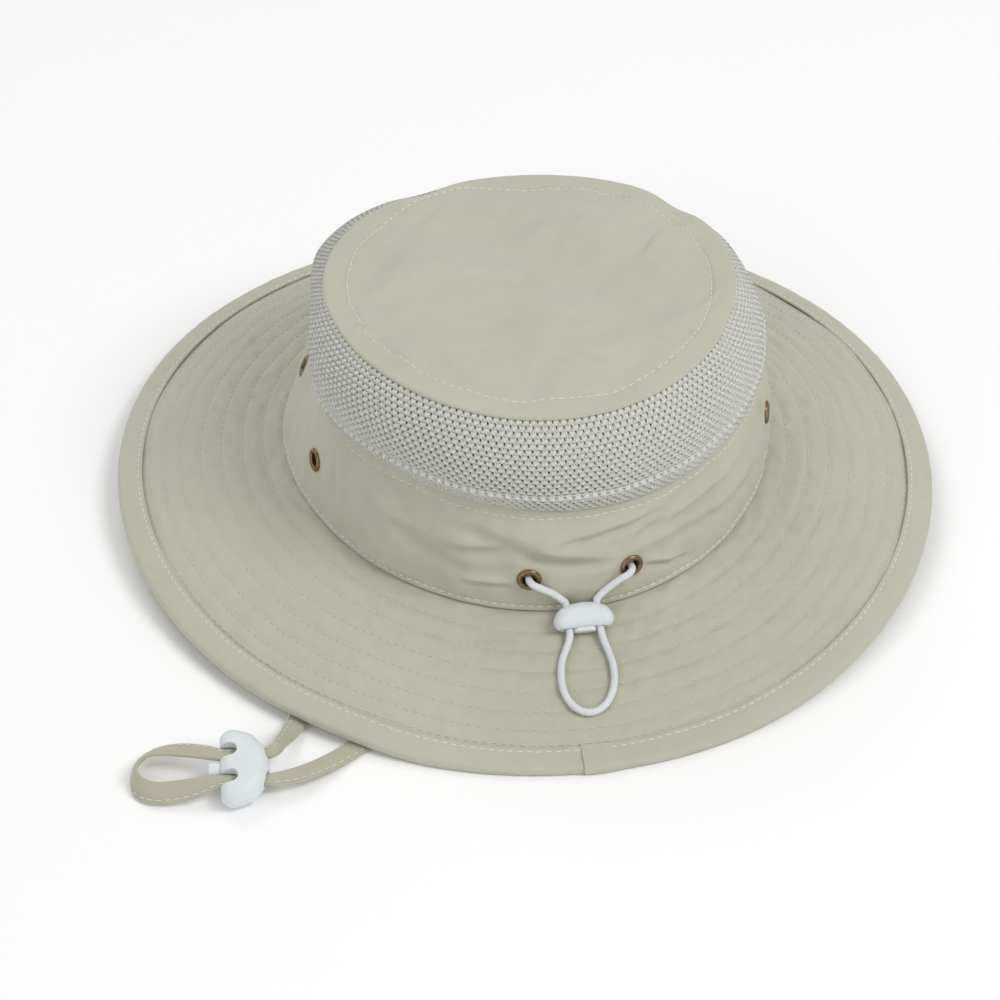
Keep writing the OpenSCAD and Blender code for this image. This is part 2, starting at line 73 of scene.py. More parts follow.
BASE_RX, BASE_RY = wall_box[1][0], wall_box[1][1]
BASE_WAVE = 3.2
BASE_H = brim_box[1][2] - BASE_WAVE
WALL_LEAN, WALL_BOW, WALL_H, WALL_T = 5.0, 1.2, 44.5, 1.0
TOP_RX = top_box[1][0]
TOP_RY = (top_box[1][1] - top_box[0][1]) / 2
TOP_BACK = (top_box[1][1] + top_box[0][1]) / 2
TOP_H, TOP_TILT, TOP_DOME = 93.0, 4.5, 3.0
SIDE_IN, SIDE_DROP = 17.0, 4.5
MESH_BULGE, MESH_LEFT_BULGE, MESH_T, HEM_H = 5.5, 1.5, 1.5, 6.0
BRIM_W = edge_box[1][0] - BASE_RX
EDGE_H, EDGE_WAVE, STRAP_LIFT = 6.2, 4.5, 1.8
CLOTH, BIND_T, BIND_W = 0.8, 0.6, 9.4
BRIM_T = 3 * CLOTH
FLOOR_H = BRIM_T + BIND_T
REST_W = 5.0
SEAM_IN = 6.6
CUT_AT = 85.2
VENT_ANGLES, VENT_H = (19.0, 158.0, -16.0, 196.0), 21.5
CORD_ANGLES, CORD_H = (78.3, 101.7), 14.5
ROWS = (8.0, 15.7, 23.6, 31.3, 38.9, 45.8, 51.6)
TOP_ROW_IN = 8.0
WALL_ROW_LOW = 2.6
WALL_ROW_DROP = 4.5
STITCH_PITCH = 3.2
EYELET_OPENING, EYELET_FLAT = 3.0, 8
MM_PER_DEGREE = 1.6  # along the wall
WALL_ROUND, BRIM_ROUND, EDGE_ROUND, INSIDE_ROUND = 590, 760, 980, 560


def cosd(a):
    return np.cos(np.radians(a))


def sind(a):
    return np.sin(np.radians(a))


def smooth(x, low, high):
    t = np.clip((x - low) / (high - low), 0, 1)
    return t * t * (3 - 2 * t)


def bell(x, width):
    return np.exp(-((x / width) ** 2))


def base_z(a):
    return BASE_H + BASE_WAVE * cosd(2 * a)


def turned_from(a, middle):
    """Degrees from the middle angle to a, between -180 and 180."""
    return np.mod(np.asarray(a, float) - middle + 180, 360) - 180


def wall_rise(a):
    return WALL_H + 2 * cosd(2 * a) + 3 * cosd(a) - SIDE_DROP * bell(turned_from(a, 5), 30)


def lean_in(a):
    return WALL_LEAN + SIDE_IN * bell(turned_from(a, -11), 24)


def top_z(a):
    return TOP_H + TOP_TILT * sind(a) + 3 * cosd(2 * a) - cosd(a)


def edge_z(a):
    turned = np.mod(np.asarray(a, float), 360)
    return EDGE_H + EDGE_WAVE * cosd(2 * a) - sind(2 * a) + STRAP_LIFT * bell(turned - 52, 11)


def oval(a, rx, ry, cy, z):
    return np.stack(np.broadcast_arrays(rx * cosd(a), cy + ry * sind(a), z), -1)


def wall_point(a, above, off=0.0):
    """A point on the wall, above the brim seam by that many mm, off outwards from its face."""
    h = above / wall_rise(a)
    lean, bow = lean_in(a) * h, WALL_BOW * 4 * h * (1 - h) + off
    return oval(a, BASE_RX - lean + bow, BASE_RY - 1.1 * lean + bow, 0.0, base_z(a) + above)


def mesh_point(a, h, off=0.0):
    """A point on the mesh band; h runs from 0 at the wall to 1 at the top seam."""
    bow = (MESH_BULGE + MESH_LEFT_BULGE * cosd(a)) * 4 * h * (1 - h) + off
    low_x, low_y = BASE_RX - lean_in(a), BASE_RY - 1.1 * lean_in(a)
    z0 = base_z(a) + wall_rise(a)
    return oval(a, low_x + (TOP_RX - low_x) * h + bow, low_y + (TOP_RY - low_y) * h + bow,
                TOP_BACK * h, z0 + (top_z(a) - WALL_T - z0) * h)


def top_point(a, r):
    """A point on the crown's top; r runs from 0 in the middle to 1 at its seam."""
    z = TOP_H + (top_z(a) - TOP_H) * r * r + TOP_DOME * (1 - r * r)
    return oval(a, TOP_RX * r, TOP_RY * r, TOP_BACK, z)


def brim_point(a, u, drop=0.0):
    """A point on the brim, u mm out from the crown seam, drop mm below its top face."""
    def resting(at):
        return np.maximum(FLOOR_H, base_z(a) + (edge_z(a) - base_z(a)) * at / BRIM_W)
    bend_u = BRIM_W - REST_W
    bend_z = resting(bend_u)
    inner = base_z(a) + (bend_z - base_z(a)) * np.maximum(0, u) / bend_u
    outer = bend_z + (resting(BRIM_W) - bend_z) * (u - bend_u) / REST_W
    return oval(a, BASE_RX + u, BASE_RY + u, 0.0, np.where(u < bend_u, inner, outer) - drop)


def bumps(p, size, seed, waves=16):
    """Smooth noise of about -1 to 1 at points p, whose swells are about size mm apart."""
    rng = np.random.RandomState(seed)
    total = np.zeros(p.shape[:-1])
    for _ in range(waves):
        way = rng.normal(size=3)
        way /= np.linalg.norm(way)
        pitch = size * rng.uniform(0.7, 1.5)
        total += np.sin(2 * np.pi * (p @ way) / pitch + rng.uniform(0, 6.28))
    return total / np.sqrt(waves)


def crease(x, y, start, end, width, depth):
    """A fold along a line in the plane of x and y: a valley with a softer ridge on its left."""
    start, end = np.array(start, float), np.array(end, float)
    run = end - start
    long = np.linalg.norm(run)
    run /= long
    along = (x - start[0]) * run[0] + (y - start[1]) * run[1]
    aside = -(x - start[0]) * run[1] + (y - start[1]) * run[0]
    fade = smooth(along, -0.12 * long, 0.3 * long) * (1 - smooth(along, 0.6 * long, 1.1 * long))
    return fade * depth * (0.8 * bell(aside - 1.3 * width, 1.3 * width) - bell(aside, width))


def outwards(a, tipped_up=0.001):
    """Unit vectors straight out from the crown's base, tipped up a little."""
    out = oval(a, 1 / BASE_RX, 1 / BASE_RY, 0.0, tipped_up)
    return out / np.linalg.norm(out, axis=-1, keepdims=True)


# ---- surfaces with their folds: the same functions place cloth, stitches and rims ----

def near_eyelets(a, above, angles, height, reach):
    """1 at each eyelet, falling to 0 at reach mm from it."""
    total = np.zeros(np.broadcast(a, above).shape)
    for at in angles:
        away = np.hypot(turned_from(a, at) * MM_PER_DEGREE, above - height)
        total = np.maximum(total, 1 - smooth(away, 0.55 * reach, reach))
    return total


WALL_FOLD_DEPTH, TOP_FOLD_DEPTH = 1.9, 2.2
WALL_FOLDS = (  # start (angle, mm above the seam), end, width, depth
    ((58, 22.0), (76, 25.0), 2.6, 1.0),
    ((75, 24.5), (98, 17.5), 2.2, 1.2),
    ((63, 10.0), (75, 10.6), 1.3, 0.8),
    ((84, 27.5), (110, 32.5), 1.8, 1.0),
    ((106, 25.0), (143, 27.5), 2.6, 1.5),
    ((104, 13.0), (118, 6.0), 1.3, 0.9),
    ((112, 18.0), (150, 12.0), 3.0, 0.8),
    ((60, 33.0), (92, 20.0), 3.2, 0.9),
    ((40, 26.0), (66, 14.0), 3.6, 0.8),
    ((118, 33.0), (100, 22.0), 2.8, 0.8),
    ((27, 38.0), (30, 12.0), 3.0, 0.9),
    ((38, 36.0), (44, 14.0), 3.4, 0.7),
    ((150, 36.0), (158, 8.0), 3.2, 0.8),
    ((208, 34.0), (220, 10.0), 3.4, 0.8),
    ((246, 30.0), (262, 14.0), 3.0, 0.7),
    ((300, 12.0), (322, 30.0), 3.2, 0.8),
    ((340, 34.0), (350, 8.0), 3.0, 0.8),
)


def wall_height(a, above):
    """How far the wall cloth stands out of its plain shape."""
    p = wall_point(a, above)
    rise = wall_rise(a)
    turned = np.mod(a + 20, 360) - 20
    out = 0.9 * bumps(p * [1, 1, 0.5], 34, 11) + 0.36 * bumps(p * [1, 1, 0.6], 11, 12)
    for start, end, width, depth in WALL_FOLDS:
        out = out + crease(turned * MM_PER_DEGREE, above, (start[0] * MM_PER_DEGREE, start[1]),
                           (end[0] * MM_PER_DEGREE, end[1]), width, WALL_FOLD_DEPTH * depth)
    rear = bell(turned - 90, 42)
    gathers = bumps(np.stack(np.broadcast_arrays(turned * 0.22, above * 1.0, 0 * above), -1), 9, 13)
    out = out + 0.35 * rear * gathers * bell(above - 15, 10)
    pucker = bumps(p * [1, 1, 0.15], 4.6, 14)
    out = out + 0.26 * pucker * (bell(above - rise, 6) + 0.8 * bell(above, 5))
    row = bell(above - WALL_ROW_LOW, 0.7) + bell(above - rise + WALL_ROW_DROP, 0.7)
    pinned = 1 - smooth(above, 1.0, 6.0) + smooth(above, rise - 7, rise - 2)
    out = out * (1 - 0.85 * np.clip(pinned, 0, 1)) - 0.28 * row
    flat = (near_eyelets(a, above, VENT_ANGLES, VENT_H, EYELET_FLAT)
            + near_eyelets(a, above, CORD_ANGLES, CORD_H, EYELET_FLAT))
    out = out * (1 - np.clip(flat, 0, 1)) + 0.05
    return out + 0.3 * bell(above - 1.5, 0.8) - 0.8 * (1 - smooth(above, 0.0, 0.9))


def wall_surface(a, above):
    return wall_point(a, above) + outwards(a) * wall_height(a, above)[..., None]


TOP_DENTS = (  # angle, half width in degrees, depth, reach inwards
    (289, 7.0, 1.5, 16.0),
    (208, 8.0, 1.7, 18.0),
    (150, 9.0, 1.0, 14.0),
    (20, 8.0, 0.9, 12.0),
)
TOP_FOLDS = (  # start (x, y), end, width, depth
    ((-58, -18), (-38, 2), 2.6, 0.9),
    ((-14, 60), (-2, 52), 1.8, 0.5),
    ((30, 40), (44, 54), 2.4, 0.5),
    ((62, 20), (70, 26), 1.2, 0.8),
    ((-8, 10), (28, 2), 4.0, 0.5),
    ((10, 28), (-26, 34), 4.0, 0.4),
    ((-56, 40), (-66, 30), 1.6, 0.6),
    ((20, -52), (40, -36), 3.0, 0.6),
)


def dent_depth(a):
    """How far the top seam is pushed in and down by the dents round it."""
    return sum(depth * bell(turned_from(a, at), wide) for at, wide, depth, _ in TOP_DENTS)


def top_height(a, r):
    p = top_point(a, r)
    inside = (1 - r) * 0.5 * (TOP_RX + TOP_RY)
    out = 1.8 * bumps(p, 46, 21) + 0.75 * bumps(p, 17, 22)
    for start, end, width, depth in TOP_FOLDS:
        out = out + crease(p[..., 0], p[..., 1], start, end, width, TOP_FOLD_DEPTH * depth)
    out = out * smooth(inside, 0.0, 12.0)
    out = out + 0.12 * bumps(p, 6, 23) * bell(inside - TOP_ROW_IN, 5)
    out = out + 0.35 * (1 - smooth(inside, TOP_ROW_IN - 1.2, TOP_ROW_IN + 1.5))
    out = out - 0.45 * bell(inside - TOP_ROW_IN, 0.8)
    for at, wide, depth, reach in TOP_DENTS:
        out = out - depth * bell(turned_from(a, at), wide) * bell(inside, reach)
    return out


def top_surface(a, r):
    plain = top_point(a, r)
    inside = (1 - r) * 0.5 * (TOP_RX + TOP_RY)
    pull = 0.6 * dent_depth(a) * bell(inside, 6.0)
    inwards = -oval(a, 1.0, 1.0, 0.0, 0.0)
    up = np.zeros(plain.shape)
    up[..., 2] = top_height(a, r)
    return plain + up + inwards * pull[..., None]


def quilt(a, u):
    """How far the brim's cloth puffs up between its rows of stitches."""
    p = brim_point(a, u)
    nearest = np.min([np.abs(u - row) for row in ROWS], 0)
    puff = 0.42 * (1 - np.exp(-((nearest / 1.3) ** 2)))
    waves = 0.26 * bumps(p, 8.5, 31) + 0.20 * bumps(p * [1, 1, 0], 19, 32)
    seam = bell(u, 5) * 0.25 * bumps(p, 5.5, 33)
    tucked = smooth(u, BRIM_W - BIND_W - 1.6, BRIM_W - BIND_W - 0.3)
    free = smooth(u, -1.0, 2.5) * (1 - tucked)
    return (puff + waves * (1 - 0.7 * bell(nearest, 1.4)) + seam) * free - 0.1 - 0.35 * tucked


def brim_lie(a, u):
    """Slow swells of the whole brim, shared by all its layers."""
    p = brim_point(a, u)
    free = smooth(u, 2.0, 20.0) * (1 - smooth(u, BRIM_W - 12, BRIM_W - 3))
    return 0.5 * free * bumps(p * [1, 1, 0], 52, 34)


def brim_surface(a, u, drop=0.0, puff=1.0):
    plain = brim_point(a, u, drop)
    up = np.zeros(plain.shape)
    up[..., 2] = puff * quilt(a, u) + brim_lie(a, u)
    return plain + up


# ---- making meshes ----

def new_object(name, points, faces, uvs=None):
    """A mesh object from points in mm; uvs is one (u, v) per face corner."""
    mesh = bpy.data.meshes.new(name)
    mesh.from_pydata((np.asarray(points).reshape(-1, 3) * MM).tolist(), [], faces)
    if uvs is not None:
        layer = mesh.uv_layers.new(name="UVMap")
        layer.data.foreach_set("uv", np.asarray(uvs, np.float32).ravel())
    mesh.shade_smooth()
    mesh.update()
    made = bpy.data.objects.new(name, mesh)
    bpy.context.scene.collection.objects.link(made)
    return made


def grid_object(name, grid, uv, closed=True, keep=None, flip=False):
    """A cloth surface from a grid of points; uv has one more row than a closed grid. Its face
    looks to the right of a step along the grid's second way, or to the left when flipped."""
    n, m = grid.shape[:2]
    i, j = np.meshgrid(np.arange(n if closed else n - 1), np.arange(m - 1), indexing="ij")
    after = (i + 1) % n
    quads = np.stack([i * m + j, after * m + j, after * m + j + 1, i * m + j + 1], -1)
    corner_uv = np.stack([uv[i, j], uv[i + 1, j], uv[i + 1, j + 1], uv[i, j + 1]], 2)
    if keep is not None:
        quads, corner_uv = quads[keep], corner_uv[keep]
    if flip:
        quads, corner_uv = quads[..., ::-1], corner_uv[..., ::-1, :]
    return new_object(name, grid, quads.reshape(-1, 4).tolist(), corner_uv.reshape(-1, 2))


def thicken(piece, thickness, offset=-1.0):
    modifier = piece.modifiers.new("thickness", "SOLIDIFY")
    modifier.thickness = thickness * MM
    modifier.offset = offset
    modifier.use_rim = True
    return piece


def finish_piece(piece, material, bends=None, stands_for=()):
    """Gives a piece its material and the hat's body; when bends (body, start, end) is given, only
    its presence is read, and the piece keeps its place in the world with no body.
    """
    piece.data.materials.append(material)
    if bends:
        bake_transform(piece)
    else:
        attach(piece, "hat")
    if stands_for:
        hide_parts(*stands_for)
    return piece


def round_angles(n, start=0.0, end=360.0):
    return start + (end - start) * np.arange(n) / n


def ring_uv(grid, round_mm, across_mm):
    """(u, v) in mm for a closed grid: u round the hat, v across the cloth."""
    n, m = grid.shape[:2]
    u = np.repeat(np.arange(n + 1)[:, None] * round_mm / n, m, 1)
    v = np.repeat(np.asarray(across_mm, float)[None, :], n + 1, 0)
    return np.stack([u, v], -1)


def catmull(points, steps):
    """A smooth line through the points; each row may hold more values than x, y and z."""
    p = np.asarray(points, float)
    p = np.vstack([p[:1], p, p[-1:]])
    out = []
    for i in range(1, len(p) - 2):
        a, b, c, d = p[i - 1:i + 3]
        for k in range(steps):
            t = k / steps
            out.append(0.5 * (2 * b + (c - a) * t + (2 * a - 5 * b + 4 * c - d) * t * t
                              + (3 * b - a - 3 * c + d) * t ** 3))
    out.append(p[-2])
    return np.array(out)


def sections_object(name, sections, uv):
    """A tube from rings of points (rings, sides, 3), with its ends closed."""
    n, m = sections.shape[:2]
    i, j = np.meshgrid(np.arange(n - 1), np.arange(m), indexing="ij")
    after = (j + 1) % m
    quads = np.stack([i * m + j, i * m + after, (i + 1) * m + after, (i + 1) * m + j], -1)
    corners = np.stack([uv[i, j], uv[i, j + 1], uv[i + 1, j + 1], uv[i + 1, j]], 2)
    faces = quads.reshape(-1, 4).tolist()
    faces.append(list(range(m))[::-1])
    faces.append([(n - 1) * m + k for k in range(m)])
    ends = uv[0, :m][::-1].tolist() + uv[-1, :m].tolist()
    return new_object(name, sections, faces, corners.reshape(-1, 2).tolist() + ends)


def frames_along(line):
    """The direction of travel, level sideways, and up at each point of a line."""
    t = np.gradient(line, axis=0)
    t /= np.linalg.norm(t, axis=1, keepdims=True)
    level = np.cross([0, 0, 1], t)
    short = np.linalg.norm(level, axis=1, keepdims=True) < 0.02
    level = np.where(short, [1.0, 0, 0], level)
    level /= np.linalg.norm(level, axis=1, keepdims=True)
    return t, level, np.cross(t, level)


# ---- materials ----

def node_tree(name):
    material = bpy.data.materials.new(name)
    material.use_nodes = True
    nodes, links = material.node_tree.nodes, material.node_tree.links
    shader = nodes["Principled BSDF"]
    return material, nodes, links, shader


def value_node(nodes, links, kind, a, b):
    math = nodes.new("ShaderNodeMath")
    math.operation = kind
    for slot_index, value in enumerate((a, b)):
        if isinstance(value, (int, float)):
            math.inputs[slot_index].default_value = value
        else:
            links.new(value, math.inputs[slot_index])
    return math.outputs[0]


def weighted_sum(nodes, links, *terms):
    """The sum of values, each given with its weight."""
    total = None
    for value, weight in terms:
        part = value_node(nodes, links, "MULTIPLY", value, weight)
        total = part if total is None else value_node(nodes, links, "ADD", total, part)
    return total


def noise_node(nodes, links, coordinates, scale, detail=3.0, rough=0.55):
    noise = nodes.new("ShaderNodeTexNoise")
    noise.inputs["Scale"].default_value = scale
    noise.inputs["Detail"].default_value = detail
    noise.inputs["Roughness"].default_value = rough
    links.new(coordinates, noise.inputs["Vector"])
    return noise.outputs["Fac"]


def mixed_colour(nodes, links, factor, dark, light):
    mix = nodes.new("ShaderNodeMix")
    mix.data_type = "RGBA"
    links.new(factor, mix.inputs["Factor"])
    mix.inputs["A"].default_value = (*dark, 1)
    mix.inputs["B"].default_value = (*light, 1)
    return mix.outputs["Result"]


def wave(nodes, links, vector, scale, axis, distortion=0.0):
    made = nodes.new("ShaderNodeTexWave")
    made.wave_type = "BANDS"
    made.bands_direction = axis
    made.inputs["Scale"].default_value = scale
    made.inputs["Distortion"].default_value = distortion
    made.inputs["Detail"].default_value = 2.0
    made.inputs["Detail Scale"].default_value = 1.5
    links.new(vector, made.inputs["Vector"])
    return made.outputs["Fac"]


def raise_normal(nodes, links, shader, height, strength, distance):
    """Lets a height bend the light on a surface."""
    bumped = nodes.new("ShaderNodeBump")
    bumped.inputs["Strength"].default_value = strength
    bumped.inputs["Distance"].default_value = distance
    links.new(height, bumped.inputs["Height"])
    links.new(bumped.outputs["Normal"], shader.inputs["Normal"])


def woven(name, light, dark, thread_mm=0.32, bump=0.12, sheen=0.25, rough=0.86):
    """Plain-weave cloth: warp and weft threads, slubs, and slow changes of shade."""
    material, nodes, links, shader = node_tree(name)
    place = nodes.new("ShaderNodeTexCoord")
    slow = noise_node(nodes, links, place.outputs["Object"], 28, 4)
    fine = noise_node(nodes, links, place.outputs["Object"], 900, 3, 0.7)
    slub = noise_node(nodes, links, place.outputs["Object"], 260, 2, 0.6)
    per_mm = 2 * np.pi / (20 * thread_mm)
    warp = wave(nodes, links, place.outputs["UV"], per_mm, "X", 0.4)
    weft = wave(nodes, links, place.outputs["UV"], per_mm, "Y", 0.4)
    threads = value_node(nodes, links, "MAXIMUM", warp, weft)
    shade = weighted_sum(nodes, links, (slow, 0.5), (slub, 0.3), (threads, 0.14), (fine, 0.1))
    links.new(mixed_colour(nodes, links, shade, dark, light), shader.inputs["Base Color"])
    shader.inputs["Roughness"].default_value = rough
    shader.inputs["Sheen Weight"].default_value = sheen
    shader.inputs["Sheen Roughness"].default_value = 0.5
    shader.inputs["Specular IOR Level"].default_value = 0.25
    height = weighted_sum(nodes, links, (threads, 1.0), (slub, 1.6))
    raise_normal(nodes, links, shader, height, bump, 0.0004)
    return material


def knitted(name, light, dark):
    """Bright polyester yarn: fine filaments that run along the strands, in colour bands from dark
    to light that are partly painted highlight on the filaments.
    """
    material, nodes, links, shader = node_tree(name)
    place = nodes.new("ShaderNodeTexCoord")
    # painted highlight: light bands along the strands, mixed into the colour with the fuzz and also
    # used for the bumps
    filament_lines_and_sheen = wave(nodes, links, place.outputs["UV"], 2 * np.pi / (20 * 0.45), "X", 3.0)
    fuzz = noise_node(nodes, links, place.outputs["Object"], 700, 3, 0.7)
    shade = weighted_sum(nodes, links, (filament_lines_and_sheen, 0.6), (fuzz, 0.5))
    links.new(mixed_colour(nodes, links, shade, dark, light), shader.inputs["Base Color"])
    shader.inputs["Roughness"].default_value = 0.55
    shader.inputs["Sheen Weight"].default_value = 0.2
    raise_normal(nodes, links, shader, shade, 0.4, 0.0003)
    return material


def thread(name, colour):
    material, nodes, links, shader = node_tree(name)
    place = nodes.new("ShaderNodeTexCoord")
    twist = noise_node(nodes, links, place.outputs["Object"], 1800, 2)
    dark = tuple(0.82 * c for c in colour)
    links.new(mixed_colour(nodes, links, twist, dark, colour), shader.inputs["Base Color"])
    shader.inputs["Roughness"].default_value = 0.5
    return material


def plated(name, bright, dark):
    """Antique plating: bright on the worn crests, dark in the hollows."""
    material, nodes, links, shader = node_tree(name)
    place = nodes.new("ShaderNodeTexCoord")
    patina = noise_node(nodes, links, place.outputs["Object"], 420, 4, 0.65)
    geometry = nodes.new("ShaderNodeNewGeometry")
    shade = weighted_sum(nodes, links, (patina, 0.8), (geometry.outputs["Pointiness"], 0.9))
    shade = value_node(nodes, links, "SUBTRACT", shade, 0.35)
    links.new(mixed_colour(nodes, links, shade, dark, bright), shader.inputs["Base Color"])
    shader.inputs["Metallic"].default_value = 0.95
    rough = value_node(nodes, links, "ADD", weighted_sum(nodes, links, (patina, 0.25)), 0.22)
    links.new(rough, shader.inputs["Roughness"])
    return material


def moulded(name, colour):
    """White plastic with a faint orange-peel skin that lets a little light in."""
    material, nodes, links, shader = node_tree(name)
    place = nodes.new("ShaderNodeTexCoord")
    skin = noise_node(nodes, links, place.outputs["Object"], 1500, 2)
    cloud = noise_node(nodes, links, place.outputs["Object"], 90, 2)
    dark = tuple(0.93 * c for c in colour)
    links.new(mixed_colour(nodes, links, cloud, dark, colour), shader.inputs["Base Color"])
    shader.inputs["Roughness"].default_value = 0.42
    shader.inputs["Subsurface Weight"].default_value = 0.25
    shader.inputs["Subsurface Radius"].default_value = (0.002, 0.002, 0.002)
    shader.inputs["Subsurface Scale"].default_value = 0.6
    raise_normal(nodes, links, shader, skin, 0.08, 0.0002)
    return material


def steel(name):
    material, nodes, links, shader = node_tree(name)
    place = nodes.new("ShaderNodeTexCoord")
    drawn = noise_node(nodes, links, place.outputs["Object"], 1200, 2)
    shine = mixed_colour(nodes, links, drawn, (0.45, 0.45, 0.46), (0.7, 0.7, 0.7))
    links.new(shine, shader.inputs["Base Color"])
    shader.inputs["Metallic"].default_value = 1.0
    shader.inputs["Roughness"].default_value = 0.28
    return material


KHAKI_LIGHT, KHAKI_DARK = (0.56, 0.55, 0.445), (0.43, 0.415, 0.325)
nylon = woven("khaki_nylon", KHAKI_LIGHT, KHAKI_DARK)
tape = woven("khaki_binding", KHAKI_LIGHT, KHAKI_DARK, thread_mm=0.36)
strap_cloth = woven("khaki_strap", (0.49, 0.475, 0.37), (0.41, 0.395, 0.295), thread_mm=0.3,
                    sheen=0.35)
cotton = woven("sweatband_cotton", (0.50, 0.48, 0.37), (0.41, 0.39, 0.29), thread_mm=0.45,
               bump=0.25)
felt = woven("interlining_felt", (0.82, 0.82, 0.79), (0.7, 0.7, 0.67), thread_mm=0.9, bump=0.3)
# the yarn's light colour is partly painted highlight, set against its dark colour across each
# strand
yarn = knitted("grey_mesh", (0.86, 0.86, 0.80), (0.42, 0.42, 0.38))
pale_thread = thread("pale_thread", (0.66, 0.64, 0.54))
white_thread = thread("white_thread", (0.80, 0.79, 0.70))
brass = plated("antique_brass", (0.42, 0.30, 0.15), (0.07, 0.045, 0.02))
elastic = woven("white_elastic", (0.78, 0.81, 0.83), (0.70, 0.73, 0.75), thread_mm=0.4, bump=0.3,
                rough=0.6)
plastic = moulded("white_plastic", (0.74, 0.78, 0.80))
wire = steel("spring_steel")

# ---- camera ----

TARGET = Vector((0.00909, -0.00048, -0.0125))
DISTANCE, AZIMUTH, ELEVATION = 1.0, 11.5, 40.37
LENS, SENSOR = 93.99, 36.0

back = Vector((sind(AZIMUTH) * cosd(ELEVATION), cosd(AZIMUTH) * cosd(ELEVATION), sind(ELEVATION)))
camera_data = bpy.data.cameras.new("camera")
camera_data.lens, camera_data.sensor_width = LENS, SENSOR
camera = bpy.data.objects.new("camera", camera_data)
camera.location = TARGET + back * DISTANCE
camera.rotation_mode = "QUATERNION"
camera.rotation_quaternion = (-back).to_track_quat("-Z", "Y")
bpy.context.scene.collection.objects.link(camera)
bpy.context.scene.camera = camera

# ---- drawcord ----

CORD_D = 2.6
DRAWCORD_ROUTE = [
    (17.6, 91.6, 31.7), (18.2, 94.9, 32.0), (17.0, 97.2, 31.6), (14.2, 97.8, 30.0),
    (10.6, 97.9, 27.4), (7.6, 98.5, 24.6), (6.2, 99.5, 23.1), (6.4, 103.7, 20.5),
    (6.6, 108.0, 17.9), (7.4, 110.6, 16.3), (9.0, 113.2, 14.9), (11.4, 117.6, 13.6),
    (12.9, 123.0, 12.3), (13.3, 128.0, 11.1), (12.5, 132.6, 9.9), (10.3, 136.3, 9.0),
    (6.9, 138.4, 8.5), (2.9, 137.9, 8.6), (-0.6, 135.4, 9.3), (-3.2, 131.6, 10.2),
    (-4.9, 127.0, 11.4), (-5.6, 121.8, 12.7), (-5.3, 116.6, 13.9), (-4.6, 112.0, 15.4),
    (-4.2, 108.6, 17.9), (-4.4, 104.3, 20.5), (-4.6, 100.1, 23.1), (-6.0, 98.9, 24.4),
    (-9.0, 98.1, 26.6), (-12.8, 97.9, 29.4), (-16.6, 97.3, 31.2), (-18.2, 94.9, 31.6),
    (-17.6, 91.6, 31.3),
]
CORD_SIDES, BRAID_DEEP, BRAID_PITCH = 20, 0.05, 1.5


def braided_cord(name, line, diameter):
    """An elastic cord with the low ridges of its braid."""
    _, level, up = frames_along(line)
    along = np.concatenate([[0], np.cumsum(np.linalg.norm(np.diff(line, axis=0), axis=1))])
    round_it = np.arange(CORD_SIDES + 1) / CORD_SIDES
    angle = 2 * np.pi * round_it[None, :-1]
    turn = 2 * np.pi * along[:, None] / BRAID_PITCH
    ridges = np.cos(turn + 4 * angle) * np.cos(turn - 4 * angle)
    radius = diameter / 2 + BRAID_DEEP * (ridges - 0.5)
    rings = (line[:, None] + level[:, None] * (radius * np.cos(angle))[..., None]
             + up[:, None] * (radius * np.sin(angle))[..., None])
    uv = np.stack(np.broadcast_arrays(round_it[None, :] * np.pi * diameter, along[:, None]), -1)
    return sections_object(name, rings, uv)


cord_line = catmull(DRAWCORD_ROUTE, 12)
cord_bends = ("rear_lock", (0, 0, 0.0318), (0, 0, 0.0228))
drawcord = finish_piece(braided_cord("drawcord_elastic", cord_line, CORD_D), elastic,
                        cord_bends, stands_for=["drawcord"])

# ---- chin strap ----

